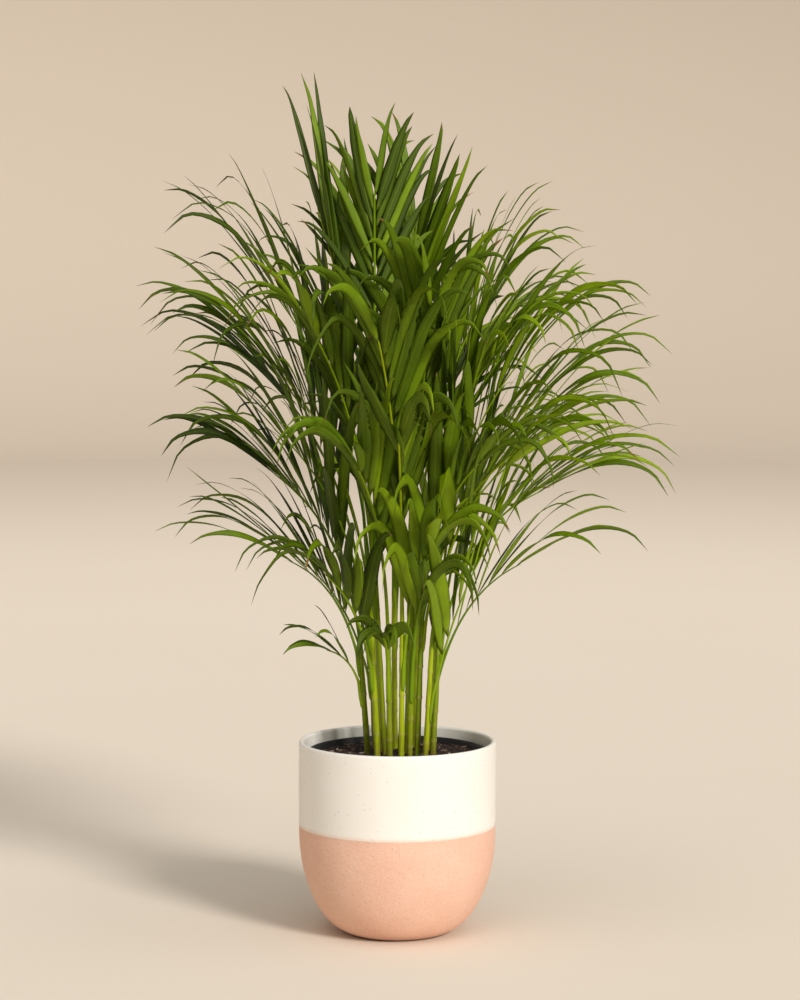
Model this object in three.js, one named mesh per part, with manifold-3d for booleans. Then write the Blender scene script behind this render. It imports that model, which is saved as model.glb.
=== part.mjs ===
// A clump of young areca palms in a black nursery pot, standing inside a two-tone ceramic pot.
// Millimetres, +Z up. The origin is the centre of the ceramic pot's flat underside.
// Azimuths are anticlockwise from +X seen from above; tilts are measured from upright.
import * as THREE from "three";
import { mergeVertices } from "three/addons/utils/BufferGeometryUtils.js";
import Module from "manifold-3d";

const GAP = 0.3; // air left between two pieces that rest on each other

// Ceramic pot
const POT_RADIUS = 120;
const POT_HEIGHT = 235.5;
const POT_WALL = 6;
const POT_FLOOR = 9;
const BELLY_HEIGHT = 125; // where the straight wall turns into the rounded bowl
const BASE_RADIUS = 50; // flat underside
const POT_SIDES = 48;
const BOWL_STEPS = 9;
const RIM_STEPS = 4;

// Nursery pot, which hangs in the bowl by its bottom edge
const NURSERY_ROOM = 5; // between its rim and the ceramic wall
const NURSERY_RIM_RADIUS = POT_RADIUS - POT_WALL - NURSERY_ROOM;
const NURSERY_TAPER = 37; // from the rim's radius to the foot's
const NURSERY_BASE_RADIUS = NURSERY_RIM_RADIUS - NURSERY_TAPER;
const NURSERY_RIM_DROP = 12; // how far its rim lies below the ceramic rim
const NURSERY_WALL = 1.6;
const NURSERY_LIP = 3; // width of the rolled rim
const NURSERY_LIP_DEPTH = 7;
const DRAIN_HOLES = 6;
const DRAIN_HOLE_RADIUS = 6;
const DRAIN_CIRCLE = 0.62; // share of the base radius

// Soil
const SOIL_DROP = 6; // below the nursery rim
const SOIL_MOUND = 4; // rise towards the canes
const SOCKET_DEPTH = 14; // how deep each cane stands in the soil

// Canes
const CANE_SIDES = 8;
const CANE_STEPS = 4;
const CANE_TAPER = 0.82; // top radius as a share of the foot's

// Fronds
const PETIOLE_STEPS = 4;
const PETIOLE_WIDTH = 4.6;
const PETIOLE_DEPTH = 3.8;
const PETIOLE_TOP = 0.38; // share of the depth that lies above the centre line
const FOOT_SHRINK = 0.5; // size of a petiole's foot beside a cane
const RACHIS_TIP = 0.45; // width at the rachis's tip as a share of the petiole's
const LEAFLET_PITCH = 21; // spacing of the pairs along the rachis
const LEAFLET_FOOT = 6; // length of rachis that each leaflet grows from
const LEAFLET_WIDTH = [11, 18]; // narrowest and widest on a frond with 200 mm leaflets
const LEAFLET_THICKNESS = 0.9;
const BLADE_SECTIONS = [ // how far along a leaflet, and how wide it is there
  [0.3, 1],
  [0.6, 0.86],
  [0.85, 0.48],
];
const CLEARANCE = 0.5; // added all round a leaflet when it is tried for room
const MOST_ATTEMPTS = 40; // poses tried for each leaflet

const wasm = await Module();
wasm.setup();

const rad = THREE.MathUtils.degToRad;
const lerp = THREE.MathUtils.lerp;
const UP = new THREE.Vector3(0, 0, 1);

// ---------------------------------------------------------------- materials

const material = (color, roughness) =>
  new THREE.MeshStandardMaterial({ color, roughness, metalness: 0 });
const GLAZED_WHITE = material("#efe6d8", 0.35);
const BLACK_PLASTIC = material("#1c1a18", 0.55);
const POTTING_SOIL = material("#35271d", 0.95);
const CANE_GREEN = material("#93a12c", 0.5);
const LEAF_GREEN = material("#38701a", 0.45);

// ---------------------------------------------------------------- shared helpers

// A repeatable number from 0 to 1 for each frond, leaflet and use.
function chance(frond, leaflet, use) {
  const wave = Math.sin(frond * 12.9898 + leaflet * 78.233 + use * 37.719) * 43758.5453;
  return wave - Math.floor(wave);
}
const between = (low, high, share) => low + (high - low) * share;

// A closed surface gathered ring by ring. A ring runs anticlockwise seen from ahead.
class Skin {
  constructor() {
    this.points = [];
    this.faces = [];
  }
  ring(points) {
    return points.map((point) => this.points.push(point) - 1);
  }
  // Four corners as two triangles, folded outwards if the side is twisted.
  side(a, b, c, d) {
    const [first, second, third, fourth] = [a, b, c, d].map((i) => this.points[i]);
    const diagonal = third.clone().sub(first);
    const other = fourth.clone().sub(second);
    const outward = diagonal.cross(other);
    const lift = second.clone().add(fourth).sub(first).sub(third).dot(outward);
    if (lift > 0) this.faces.push([a, b, d], [b, c, d]);
    else this.faces.push([a, b, c], [a, c, d]);
  }
  band(from, to) {
    from.forEach((corner, i) => {
      const next = (i + 1) % from.length;
      this.side(corner, from[next], to[next], to[i]);
    });
  }
  cap(ring) {
    for (let i = 2; i < ring.length; i++) this.faces.push([ring[0], ring[i - 1], ring[i]]);
  }
  point(ring, tip) {
    const apex = this.points.push(tip) - 1;
    ring.forEach((corner, i) => this.faces.push([corner, ring[(i + 1) % ring.length], apex]));
  }
  triangles() {
    return this.faces.map((face) => face.map((i) => this.points[i]));
  }
  geometry() {
    return new THREE.BufferGeometry().setFromPoints(this.points).setIndex(this.faces.flat());
  }
}

function toSolid(geometry) {
  geometry.deleteAttribute("normal");
  geometry.deleteAttribute("uv");
  const merged = mergeVertices(geometry, 1e-4);
  return new wasm.Manifold(
    new wasm.Mesh({
      numProp: 3,
      vertProperties: new Float32Array(merged.attributes.position.array),
      triVerts: new Uint32Array(merged.index.array),
    }),
  );
}

function toGeometry(solid) {
  const { vertProperties, triVerts } = solid.getMesh();
  return new THREE.BufferGeometry()
    .setAttribute("position", new THREE.BufferAttribute(vertProperties, 3))
    .setIndex(new THREE.BufferAttribute(triVerts, 1));
}

// A LatheGeometry turns about Y; this stands its axis along Z.
function lathe(profile, sides) {
  const points = profile.map(([radius, height]) => new THREE.Vector2(radius, height));
  return new THREE.LatheGeometry(points, sides).rotateX(Math.PI / 2);
}

function named(name, geometry, finish) {
  const mesh = new THREE.Mesh(geometry, finish);
  mesh.name = name;
  return mesh;
}

// ---------------------------------------------------------------- ceramic pot

// Radius of the bowl, inset by wall at the side and floor at the bottom, at a height.
function bowlRadius(height, wall, floor) {
  const fall = (BELLY_HEIGHT - height) / (BELLY_HEIGHT - floor);
  const bulge = POT_RADIUS - wall - BASE_RADIUS;
  return BASE_RADIUS + bulge * Math.sqrt(Math.max(0, 1 - fall * fall));
}

// Height in the inside of the bowl at which it is as wide as radius.
function seatHeight(radius) {
  const out = (radius - BASE_RADIUS) / (POT_RADIUS - POT_WALL - BASE_RADIUS);
  return BELLY_HEIGHT - (BELLY_HEIGHT - POT_FLOOR) * Math.sqrt(1 - out * out);
}

// Points on the bowl from its bottom edge to the belly, closer together low down.
function bowlCurve(wall, floor) {
  return Array.from({ length: BOWL_STEPS + 1 }, (_, i) => {
    const turn = (Math.PI / 2) * (i / BOWL_STEPS);
    const height = BELLY_HEIGHT - (BELLY_HEIGHT - floor) * Math.cos(turn);
    return [bowlRadius(height, wall, floor), height];
  });
}

const seatTop = seatHeight(NURSERY_BASE_RADIUS);
const nurserySeat = seatTop + 1.2 * GAP;

function ceramicPot() {
  const inside = bowlCurve(POT_WALL, POT_FLOOR).filter(
    ([, height]) => Math.abs(height - seatTop) > 2,
  );
  inside.push([NURSERY_BASE_RADIUS, seatTop]);
  inside.sort((a, b) => b[1] - a[1]);
  const rimRadius = POT_WALL / 2;
  const rim = Array.from({ length: RIM_STEPS + 1 }, (_, i) => {
    const turn = Math.PI * (i / RIM_STEPS);
    return [
      POT_RADIUS - rimRadius + rimRadius * Math.cos(turn),
      POT_HEIGHT - rimRadius + rimRadius * Math.sin(turn),
    ];
  });
  const profile = [[0, 0], ...bowlCurve(0, 0), ...rim, ...inside, [0, POT_FLOOR]];
  return named("ceramic_pot", lathe(profile, POT_SIDES), GLAZED_WHITE);
}

// ---------------------------------------------------------------- nursery pot

const nurseryTop = POT_HEIGHT - NURSERY_RIM_DROP;
const nurseryBody = NURSERY_RIM_RADIUS - NURSERY_LIP; // wall radius just under the lip

// Outer radius of the nursery pot's wall at a height.
function nurseryRadius(height) {
  const share = (height - nurserySeat) / (nurseryTop - nurserySeat);
  return lerp(NURSERY_BASE_RADIUS, nurseryBody, share);
}

function nurseryPot() {
  const floor = nurserySeat + NURSERY_WALL;
  const lipFoot = nurseryTop - NURSERY_LIP_DEPTH;
  const shell = lathe(
    [
      [0, nurserySeat],
      [NURSERY_BASE_RADIUS, nurserySeat],
      [nurseryRadius(lipFoot), lipFoot],
      [NURSERY_RIM_RADIUS, lipFoot + 1],
      [NURSERY_RIM_RADIUS, nurseryTop - 1],
      [NURSERY_RIM_RADIUS - 1, nurseryTop],
      [nurseryBody - NURSERY_WALL + 1, nurseryTop],
      [nurseryBody - NURSERY_WALL, nurseryTop - 1],
      [nurseryRadius(floor) - NURSERY_WALL, floor],
      [0, floor],
    ],
    POT_SIDES,
  );
  let solid = toSolid(shell);
  for (let i = 0; i < DRAIN_HOLES; i++) {
    const azimuth = (2 * Math.PI * (i + 0.5)) / DRAIN_HOLES;
    const drill = new THREE.CylinderGeometry(DRAIN_HOLE_RADIUS, DRAIN_HOLE_RADIUS, 12, 10)
      .rotateX(Math.PI / 2)
      .translate(
        DRAIN_CIRCLE * NURSERY_BASE_RADIUS * Math.cos(azimuth),
        DRAIN_CIRCLE * NURSERY_BASE_RADIUS * Math.sin(azimuth),
        nurserySeat,
      );
    solid = solid.subtract(toSolid(drill));
  }
  return named("nursery_pot", toGeometry(solid), BLACK_PLASTIC);
}

// ---------------------------------------------------------------- the palms

// One row for each cane: where its foot stands, its radius, its height above the soil and
// how it leans. Each of its fronds then has: height of its sheath's mouth as a share of the
// cane's, azimuth, tilt at the foot, tilt at the tip, petiole, leafy length, leaflet length,
// how far its leaflets sag and how widely they open.
const frond = (at, azimuth, start, end, petiole, blade, leaflet, sag, spread = 1) => ({
  at, azimuth, start, end, petiole, blade, leaflet, sag, spread,
});
const CANES = [
  { foot: [-36, -8], radius: 3.8, height: 145, azimuth: 190, lean: 4, fronds: [
    frond(0.6, 185, 20, 85, 24, 36, 85, 1.6),
    frond(0.85, 195, 16, 74, 50, 110, 215, 1.3),
    frond(1.0, 174, 10, 58, 100, 140, 215, 1.5),
  ] },
  { foot: [-24, -26], radius: 3.9, height: 180, azimuth: 215, lean: 3, fronds: [
    frond(0.6, 225, 16, 60, 50, 100, 170, 2.4, 0.8),
    frond(0.85, 192, 9, 52, 140, 150, 215, 1.6),
    frond(1.0, 172, 7, 52, 190, 170, 260, 1.4),
  ] },
  { foot: [-18, 6], radius: 3.6, height: 220, azimuth: 150, lean: 3, fronds: [
    frond(0.8, 195, 9, 48, 170, 170, 260, 1.4),
    frond(0.92, 172, 5, 42, 240, 160, 270, 1.3),
    frond(1.0, 165, 3, 19, 325, 130, 225, 0.3, 0.3),
  ] },
  { foot: [-9, -36], radius: 3.7, height: 140, azimuth: 250, lean: 2, fronds: [
    frond(0.7, 262, 12, 90, 36, 44, 90, 4.0, 0.7),
    frond(1.0, 248, 5, 54, 110, 140, 210, 2.6, 0.65),
  ] },
  { foot: [-15, -14], radius: 3.5, height: 230, azimuth: 190, lean: 3, fronds: [
    frond(0.85, 235, 6, 44, 180, 170, 220, 2.2, 0.7),
    frond(1.0, 266, 0, 1, 300, 160, 160, 0.5, 0.85),
  ] },
  { foot: [5, -38], radius: 3.6, height: 160, azimuth: 280, lean: 2, fronds: [
    frond(0.7, 300, 8, 54, 70, 110, 180, 2.8, 0.7),
    frond(0.85, 268, 5, 54, 150, 150, 210, 2.8, 0.6),
    frond(1.0, 255, 3, 40, 230, 150, 210, 2.4, 0.7),
  ] },
  { foot: [15, -29], radius: 3.5, height: 190, azimuth: 300, lean: 2, fronds: [
    frond(0.5, 285, 10, 62, 60, 90, 160, 3.0, 0.7),
    frond(0.75, 315, 8, 56, 110, 150, 215, 2.4, 0.7),
    frond(1.0, 285, 3, 34, 220, 160, 210, 2.2, 0.7),
  ] },
  { foot: [12, -6], radius: 3.7, height: 230, azimuth: 20, lean: 1, fronds: [
    frond(0.8, 330, 6, 42, 160, 170, 230, 1.8, 0.8),
    frond(0.9, 12, 4, 32, 230, 140, 225, 1.5),
    frond(1.0, 80, 2, 12, 270, 150, 200, 0.8, 0.8),
  ] },
  { foot: [24, -21], radius: 3.6, height: 195, azimuth: 320, lean: 2.5, fronds: [
    frond(0.8, 345, 9, 62, 110, 160, 240, 1.8),
    frond(1.0, 352, 5, 44, 190, 150, 225, 1.6),
  ] },
  { foot: [34, -33], radius: 3.4, height: 145, azimuth: 320, lean: 4, fronds: [
    frond(0.5, 356, 13, 30, 50, 150, 175, 1.3, 0.9),
    frond(1.0, 325, 8, 60, 110, 150, 215, 2.2, 0.8),
  ] },
  { foot: [43, -10], radius: 3.8, height: 200, azimuth: 350, lean: 3, fronds: [
    frond(0.7, 352, 11, 72, 90, 150, 225, 1.6),
    frond(0.85, 10, 8, 60, 135, 150, 230, 1.6),
    frond(1.0, 348, 5, 48, 180, 160, 225, 1.6),
  ] },
  { foot: [-27, 25], radius: 3.6, height: 180, azimuth: 130, lean: 4, fronds: [
    frond(0.5, 188, 15, 68, 80, 130, 200, 1.6),
    frond(0.7, 165, 12, 60, 110, 150, 220, 1.5),
    frond(0.85, 148, 8, 54, 180, 160, 245, 1.5),
    frond(1.0, 125, 4, 34, 240, 160, 220, 1.3),
  ] },
  { foot: [-3, 31], radius: 3.7, height: 200, azimuth: 95, lean: 3, fronds: [
    frond(0.8, 70, 10, 54, 150, 170, 230, 1.6),
    frond(1.0, 105, 3, 20, 270, 160, 210, 1.0),
  ] },
  { foot: [20, 29], radius: 3.6, height: 190, azimuth: 60, lean: 3, fronds: [
    frond(0.7, 38, 12, 66, 110, 160, 240, 1.7),
    frond(0.85, 58, 7, 46, 190, 160, 230, 1.5),
    frond(1.0, 28, 4, 36, 230, 150, 235, 1.4),
  ] },
  { foot: [39, 16], radius: 3.7, height: 165, azimuth: 25, lean: 4, fronds: [
    frond(0.5, 345, 15, 70, 70, 130, 215, 1.7),
    frond(0.75, 18, 13, 72, 100, 160, 245, 1.6),
    frond(1.0, 2, 7, 56, 150, 165, 240, 1.6),
  ] },
];

const soilTop = nurseryTop - SOIL_DROP;
const soilRadius = nurseryRadius(soilTop) - NURSERY_WALL - GAP;

// Height of the soil's surface at a distance from the pot's axis.
const soilHeight = (radius) => soilTop + SOIL_MOUND * (1 - (radius / soilRadius) ** 2);

// The frame of a stem that points up and outwards: ahead, out to its right, and its upper side.
function stemFrame(azimuth, tilt) {
  const out = new THREE.Vector3(Math.cos(azimuth), Math.sin(azimuth), 0);
  const ahead = out.clone().multiplyScalar(Math.sin(tilt)).addScaledVector(UP, Math.cos(tilt));
  const right = new THREE.Vector3(-Math.sin(azimuth), Math.cos(azimuth), 0);
  const upper = out.clone().multiplyScalar(-Math.cos(tilt)).addScaledVector(UP, Math.sin(tilt));
  return { ahead, right, upper };
}

// A cane's centre line, straight and leaning.
function caneLine(cane) {
  const { ahead } = stemFrame(rad(cane.azimuth), rad(cane.lean));
  const surface = soilHeight(Math.hypot(...cane.foot));
  const foot = new THREE.Vector3(...cane.foot, surface);
  return {
    ahead,
    at: (height) => foot.clone().addScaledVector(ahead, height / ahead.z),
    radiusAt: (height) => cane.radius * lerp(1, CANE_TAPER, Math.max(0, height) / cane.height),
  };
}

// A column round a cane's line through the given heights, larger than the cane by grow.
function columnSkin(line, heights, grow) {
  const skin = new Skin();
  let last = null;
  for (const height of heights) {
    const centre = line.at(height);
    const radius = line.radiusAt(height) + grow;
    const points = Array.from({ length: CANE_SIDES }, (_, k) => {
      const turn = (2 * Math.PI * k) / CANE_SIDES;
      const spoke = new THREE.Vector3(Math.cos(turn), Math.sin(turn), 0);
      return centre.clone().addScaledVector(spoke, radius);
    });
    const ring = skin.ring(points);
    if (last) skin.band(last, ring);
    else skin.cap([...ring].reverse());
    last = ring;
  }
  skin.cap(last);
  return skin;
}

function caneSkin(cane, line) {
  const heights = Array.from({ length: CANE_STEPS + 1 }, (_, i) =>
    lerp(GAP - SOCKET_DEPTH, cane.height, i / CANE_STEPS),
  );
  return columnSkin(line, heights, 0);
}

// The soil fills the nursery pot and has a socket for each cane.
function soil() {
  const floor = nurserySeat + NURSERY_WALL + GAP;
  const surface = [1, 0.72, 0.36, 0].map((share) => [
    share * soilRadius,
    soilHeight(share * soilRadius),
  ]);
  const profile = [[0, floor], [nurseryRadius(floor) - NURSERY_WALL - GAP, floor], ...surface];
  let solid = toSolid(lathe(profile, POT_SIDES));
  for (const cane of CANES) {
    const socket = columnSkin(caneLine(cane), [-SOCKET_DEPTH, 12], 1.5 * GAP);
    solid = solid.subtract(toSolid(socket.geometry()));
  }
  return named("soil", toGeometry(solid), POTTING_SOIL);
}

// ---------------------------------------------------------------- room between pieces

// True if the edge from p to q passes through the triangle a, b, c.
const ab = new THREE.Vector3();
const ac = new THREE.Vector3();
const edge = new THREE.Vector3();
const cross = new THREE.Vector3();
const reach = new THREE.Vector3();
function pierces(p, q, [a, b, c]) {
  edge.subVectors(q, p);
  ab.subVectors(b, a);
  ac.subVectors(c, a);
  cross.crossVectors(edge, ac);
  const slope = ab.dot(cross);
  if (Math.abs(slope) < 1e-9) return false;
  reach.subVectors(p, a);
  const u = reach.dot(cross) / slope;
  if (u < 0 || u > 1) return false;
  reach.cross(ab);
  const v = edge.dot(reach) / slope;
  if (v < 0 || u + v > 1) return false;
  const along = ac.dot(reach) / slope;
  return along >= 0 && along <= 1;
}

// Whether the skin's faces from a given one on run through any face they share no corner with.
function crossesItself(skin, from) {
  const cornersOf = (face) => face.map((i) => skin.points[i]);
  for (const face of skin.faces.slice(from)) {
    const corners = cornersOf(face);
    for (const other of skin.faces) {
      if (other.some((i) => face.includes(i))) continue;
      const others = cornersOf(other);
      for (let i = 0; i < 3; i++) {
        if (pierces(corners[i], corners[(i + 1) % 3], others)) return true;
        if (pierces(others[i], others[(i + 1) % 3], corners)) return true;
      }
    }
  }
  return false;
}

// The triangles of the pieces placed so far, kept in cubes of space.
const CUBE = 30;
const cubes = new Map();
function cubesOf(triangle) {
  const found = [];
  const low = triangle.map((p) => p.toArray()).reduce((a, b) => a.map((v, i) => Math.min(v, b[i])));
  const high = triangle.map((p) => p.toArray()).reduce((a, b) => a.map((v, i) => Math.max(v, b[i])));
  const first = low.map((v) => Math.floor(v / CUBE));
  const last = high.map((v) => Math.floor(v / CUBE));
  for (let x = first[0]; x <= last[0]; x++)
    for (let y = first[1]; y <= last[1]; y++)
      for (let z = first[2]; z <= last[2]; z++) found.push(`${x},${y},${z}`);
  return found;
}
function place(skin, owner) {
  for (const triangle of skin.triangles())
    for (const cube of cubesOf(triangle)) {
      if (!cubes.has(cube)) cubes.set(cube, []);
      cubes.get(cube).push({ triangle, owner });
    }
}
function isClear(skin, owner) {
  for (const triangle of skin.triangles())
    for (const cube of cubesOf(triangle))
      for (const other of cubes.get(cube) ?? []) {
        if (other.owner === owner) continue;
        for (let i = 0; i < 3; i++) {
          if (pierces(triangle[i], triangle[(i + 1) % 3], other.triangle)) return false;
          if (pierces(other.triangle[i], other.triangle[(i + 1) % 3], triangle)) return false;
        }
      }
  return true;
}

// ---------------------------------------------------------------- fronds

const SWINGS = [0, 3, -3, 6, -6, 9, -9, 12, -12, 16, -16, 20, -20, 25, -25, 30, -30];

// The stations of a frond's midline: a petiole, then a foot and a gap for each leaflet pair.
function frondMidline(cane, line, spec, swing) {
  const azimuth = rad(spec.azimuth + swing);
  const mouth = spec.at * cane.height;
  const top = spec.at === 1;
  const dip = (PETIOLE_WIDTH / 2 + 1) * Math.sin(rad(spec.start)); // of the foot's lower edge
  const start = line.at(mouth + (top ? GAP + dip : 0));
  if (!top) {
    const out = line.radiusAt(mouth) + GAP + FOOT_SHRINK * PETIOLE_TOP * PETIOLE_DEPTH;
    start.x += out * Math.cos(azimuth);
    start.y += out * Math.sin(azimuth);
  }
  const pairs = Math.max(3, Math.round(spec.blade / LEAFLET_PITCH));
  const pitch = spec.blade / pairs;
  const lengths = [];
  for (let i = 0; i < PETIOLE_STEPS; i++) lengths.push((spec.petiole * i) / PETIOLE_STEPS);
  for (let i = 0; i < pairs; i++) {
    const at = spec.petiole + i * pitch;
    lengths.push(at, at + LEAFLET_FOOT * lerp(1, 0.6, i / pairs));
  }
  const total = spec.petiole + spec.blade;
  const stations = [];
  const point = start.clone();
  let walked = 0;
  for (const length of lengths) {
    const steps = 4;
    for (let i = 0; i < steps; i++) {
      const share = (walked + ((length - walked) * (i + 0.5)) / steps) / total;
      const tilt = rad(lerp(spec.start, spec.end, share ** 1.5));
      point.addScaledVector(stemFrame(azimuth, tilt).ahead, (length - walked) / steps);
    }
    walked = length;
    const share = length / total;
    const tilt = rad(lerp(spec.start, spec.end, share ** 1.5));
    const foot = !top && length === 0 ? FOOT_SHRINK : 1; // lies against the cane as a wedge
    const shrink = foot * lerp(1, RACHIS_TIP, Math.max(0, share - 0.15) / 0.85);
    stations.push({ point: point.clone(), shrink, ...stemFrame(azimuth, tilt) });
  }
  const { point: lastPoint, ahead } = stations[stations.length - 1];
  return { stations, pairs, tip: lastPoint.clone().addScaledVector(ahead, 8) };
}

// The three corners of the midline's section at a station: right, left, keel.
function midlineRing({ point, right, upper, shrink }, grow) {
  const half = (PETIOLE_WIDTH / 2) * shrink + grow;
  const depth = PETIOLE_DEPTH * shrink;
  const top = depth * PETIOLE_TOP + grow;
  return [
    point.clone().addScaledVector(right, half).addScaledVector(upper, top),
    point.clone().addScaledVector(right, -half).addScaledVector(upper, top),
    point.clone().addScaledVector(upper, top - depth - 2 * grow),
  ];
}

function midlineSkin(midline, grow) {
  const skin = new Skin();
  let last = null;
  for (const station of midline.stations) {
    const ring = skin.ring(midlineRing(station, grow));
    if (last) skin.band(last, ring);
    else skin.cap([...ring].reverse());
    last = ring;
  }
  skin.point(last, midline.tip);
  return skin;
}

// How long each leaflet is along the blade, as a share of the longest.
const leafletShare = (along) => 0.62 + 0.38 * Math.sin(Math.PI * (0.12 + 0.88 * along ** 0.8)) ** 0.9;

// A leaflet's centre line and section frames. side is 1 on the right and -1 on the left.
function leafletShape(frondIndex, leafletIndex, spec, station, along, side, attempt) {
  const roll = (use) => chance(frondIndex, leafletIndex, use + attempt * 11) - 0.5;
  const wander = Math.min(1.2, 0.35 + attempt * 0.04);
  const opening = rad(spec.spread * lerp(40, 12, along) + 16 * roll(1) * wander);
  const lift = rad(lerp(30, 20, along) / spec.spread ** 0.6 + 26 * roll(2) * wander);
  const droop = spec.sag * (between(0.25, 0.95, chance(frondIndex, leafletIndex, 3)) + roll(4) * wander);
  const pitch = rad(between(-35, 20, chance(frondIndex, leafletIndex, 5)) + 50 * roll(6) * wander);
  const vigour = between(0.88, 1.16, chance(frondIndex, leafletIndex, 7));
  const length = spec.leaflet * leafletShare(along) * vigour;
  const broadness = between(...LEAFLET_WIDTH, chance(frondIndex, leafletIndex, 8));
  const width = broadness * (spec.leaflet / 200) ** 0.5;
  const { ahead, right, upper, point } = station;
  const out = right.clone().multiplyScalar(side * Math.cos(lift)).addScaledVector(upper, Math.sin(lift));
  const first = ahead.clone().multiplyScalar(Math.cos(opening)).addScaledVector(out, Math.sin(opening));
  const centre = point.clone().addScaledVector(out, 2);
  const sections = [];
  const steps = 20;
  const direction = new THREE.Vector3();
  for (let i = 1; i <= steps; i++) {
    const fall = Math.max(0, droop) * ((i - 0.5) / steps) ** 2.2;
    direction.copy(first).addScaledVector(UP, -fall).normalize();
    centre.addScaledVector(direction, length / steps);
    const section = BLADE_SECTIONS.find(([at]) => Math.round(at * steps) === i);
    if (!section) continue;
    const across = ahead.clone().addScaledVector(direction, -ahead.dot(direction)).normalize();
    across.applyAxisAngle(direction, side * pitch);
    const above = new THREE.Vector3().crossVectors(across, direction).multiplyScalar(side);
    sections.push({ centre: centre.clone(), across, above, width: width * section[1] });
  }
  const beyondTip = centre.clone().addScaledVector(direction, 3 * CLEARANCE);
  return { sections, tip: centre, beyondTip };
}

// Adds a leaflet to a skin, growing out of the triangle foot: rear, front and keel corners.
function growLeaflet(skin, foot, shape, side) {
  const turned = ([keel, rear, front]) => (side > 0 ? [keel, rear, front] : [rear, keel, front]);
  let last = turned([foot.keel, foot.rear, foot.front]);
  for (const { centre, across, above, width } of shape.sections) {
    const ring = skin.ring(
      turned([
        centre.clone().addScaledVector(above, -LEAFLET_THICKNESS),
        centre.clone().addScaledVector(across, -width / 2),
        centre.clone().addScaledVector(across, width / 2),
      ]),
    );
    skin.band(last, ring);
    last = ring;
  }
  skin.point(last, shape.tip);
}

// A box-sectioned sleeve, larger than the leaflet by grow all round. It begins at skip, a share
// of the way from the foot to the first section.
function leafletRoom(foot, shape, grow, skip) {
  const room = new Skin();
  let last = null;
  for (const { centre, across, above, width } of shape.sections) {
    const corners = [[-1, 0], [1, 0], [1, 1], [-1, 1]].map(([end, below]) =>
      centre
        .clone()
        .addScaledVector(across, end * (width / 2 + grow))
        .addScaledVector(above, below ? -LEAFLET_THICKNESS - grow : grow),
    );
    const [rear, front, keel] = foot;
    last ??= room.ring([rear, front, keel, keel].map((p, i) => p.clone().lerp(corners[i], skip)));
    const ring = room.ring(corners);
    room.band(last, ring);
    last = ring;
  }
  room.point(last, shape.beyondTip);
  return room;
}

// Whether the whole of a leaflet's first section lies outside the plane of its foot.
function leavesFoot([rear, front, keel], shape, side) {
  const normal = front.clone().sub(rear).cross(keel.clone().sub(rear)).normalize();
  const { centre, across, above, width } = shape.sections[0];
  const corners = [
    centre.clone().addScaledVector(across, -width / 2),
    centre.clone().addScaledVector(across, width / 2),
    centre.clone().addScaledVector(above, -LEAFLET_THICKNESS),
  ];
  return corners.every((corner) => corner.sub(rear).dot(normal) * side > 0.5);
}

// A frond: its midline, with a leaflet on each side of every foot wherever there is room.
function frondSkin(frondIndex, owner, spec, midline) {
  const skin = new Skin();
  const { stations, pairs, tip } = midline;
  let last = null;
  const feet = [];
  stations.forEach((station, i) => {
    const ring = skin.ring(midlineRing(station, 0));
    if (!last) skin.cap([...ring].reverse());
    else if (i > PETIOLE_STEPS && (i - PETIOLE_STEPS) % 2 === 1) {
      skin.side(last[0], last[1], ring[1], ring[0]);
      skin.faces.push([last[1], last[2], ring[2]], [last[2], ring[0], ring[2]]);
      const pair = (i - PETIOLE_STEPS - 1) / 2;
      feet.push({ pair, side: 1, station, rear: last[0], front: ring[0], keel: last[2] });
      feet.push({ pair, side: -1, station, rear: last[1], front: ring[1], keel: ring[2] });
    } else skin.band(last, ring);
    last = ring;
  });
  skin.point(last, tip);
  feet.forEach((foot, leafletIndex) => {
    const along = (foot.pair + 0.5) / pairs;
    const corners = [foot.rear, foot.front, foot.keel].map((i) => skin.points[i]);
    let grown = false;
    for (let attempt = 0; attempt < MOST_ATTEMPTS && !grown; attempt++) {
      const shape = leafletShape(frondIndex, leafletIndex, spec, foot.station, along, foot.side, attempt);
      if (!isClear(leafletRoom(corners, shape, CLEARANCE, 0), owner)) continue;
      if (!isClear(leafletRoom(corners, shape, 0, 0.25), "")) continue; // of its own midline too
      if (!leavesFoot(corners, shape, foot.side)) continue;
      const before = skin.faces.length;
      const pointsBefore = skin.points.length;
      growLeaflet(skin, foot, shape, foot.side);
      const leaflet = new Skin();
      leaflet.points = skin.points;
      leaflet.faces = skin.faces.slice(before);
      grown = isClear(leaflet, owner) && !crossesItself(skin, before);
      if (grown) {
        place(leaflet, `${owner}-${leafletIndex}`);
      } else {
        skin.faces.length = before;
        skin.points.length = pointsBefore;
      }
    }
    if (grown) return;
    const { rear, front, keel } = foot;
    skin.cap(foot.side > 0 ? [keel, rear, front] : [rear, keel, front]);
  });
  return skin;
}

// ---------------------------------------------------------------- assembly

const palm = new THREE.Group();
palm.add(ceramicPot(), nurseryPot(), soil());

const number = (n) => String(n).padStart(2, "0");
const lines = CANES.map(caneLine);
CANES.forEach((cane, i) => {
  const skin = caneSkin(cane, lines[i]);
  place(skin, `cane_${number(i + 1)}`);
  palm.add(named(`cane_${number(i + 1)}`, skin.geometry(), CANE_GREEN));
});

const fronds = [];
CANES.forEach((cane, i) => {
  for (const spec of cane.fronds) {
    const owner = `frond_${number(fronds.length + 1)}`;
    const choices = SWINGS.map((swing) => frondMidline(cane, lines[i], spec, swing));
    const midline = choices.find((choice) => isClear(midlineSkin(choice, GAP / 2), owner)) ?? choices[0];
    place(midlineSkin(midline, 0), owner);
    fronds.push({ owner, spec, midline });
  }
});
fronds.forEach(({ owner, spec, midline }, index) => {
  const skin = frondSkin(index + 1, owner, spec, midline);
  palm.add(named(owner, skin.geometry(), LEAF_GREEN));
});

export default palm;
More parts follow.
